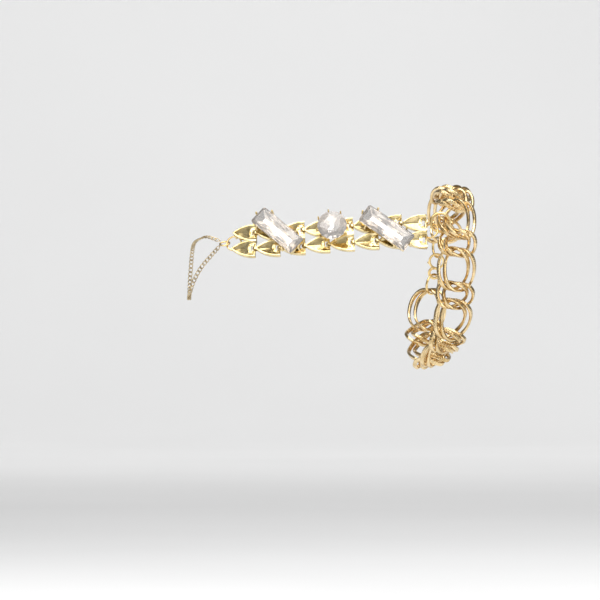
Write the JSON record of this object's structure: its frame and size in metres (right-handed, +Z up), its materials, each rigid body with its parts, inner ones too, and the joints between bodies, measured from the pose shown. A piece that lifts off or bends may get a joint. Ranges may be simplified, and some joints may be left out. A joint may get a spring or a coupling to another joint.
{
  "type": "hand chain bracelet",
  "caption": "Hand chain bracelet: twin link curb chain for the wrist, row of paired cast leaf links with set crystals, and a fine chain loop for the finger.",
  "frame": {"origin": "on the wrist's axis, in the middle of the wrist opening as it is worn", "axes": "+X along the forearm from the fingers to the elbow, -Y out of the back of the hand, +Z up as worn with the hand held out sideways"},
  "size_m": [0.1154, 0.0581, 0.0741],
  "materials": {
    "link_gold": "polished gold plate, finely knurled outer face",
    "cast_gold": "cast gold plate, bright rims, grained tails",
    "wire_gold": "polished gold-plated wire",
    "crystal": "clear cut crystal, silvered at the back"
  },
  "bodies": {
    "root": {"long_link_1a": "link_gold", "long_link_1b": "link_gold", "long_link_2a": "link_gold", "long_link_2b": "link_gold", "long_link_3a": "link_gold", "long_link_3b": "link_gold", "long_link_4a": "link_gold", "long_link_4b": "link_gold", "long_link_5a": "link_gold", "long_link_5b": "link_gold", "long_link_6a": "link_gold", "long_link_6b": "link_gold", "long_link_7a": "link_gold", "long_link_7b": "link_gold", "long_link_8a": "link_gold", "long_link_8b": "link_gold", "short_link_1a": "link_gold", "short_link_1b": "link_gold", "short_link_2a": "link_gold", "short_link_2b": "link_gold", "short_link_3a": "link_gold", "short_link_3b": "link_gold", "short_link_4a": "link_gold", "short_link_4b": "link_gold", "short_link_5a": "link_gold", "short_link_5b": "link_gold", "short_link_6a": "link_gold", "short_link_6b": "link_gold", "short_link_7a": "link_gold", "short_link_7b": "link_gold", "short_link_8a": "link_gold", "short_link_8b": "link_gold", "leaf_link_1": "cast_gold", "leaf_link_2": "cast_gold", "leaf_link_3": "cast_gold", "leaf_link_4": "cast_gold", "leaf_link_5": "cast_gold", "leaf_link_6": "cast_gold", "leaf_link_7": "cast_gold", "leaf_link_8": "cast_gold", "baguette_1": "crystal", "baguette_2": "crystal", "round_stone": "crystal", "wrist_ring": "wire_gold", "tail_ring": "wire_gold", "tip_ring": "wire_gold", "finger_ring": "wire_gold", "finger_chain": "wire_gold", "clasp": "wire_gold", "clasp_ring_1": "wire_gold", "clasp_ring_2": "wire_gold"}
  },
  "joints": []
}
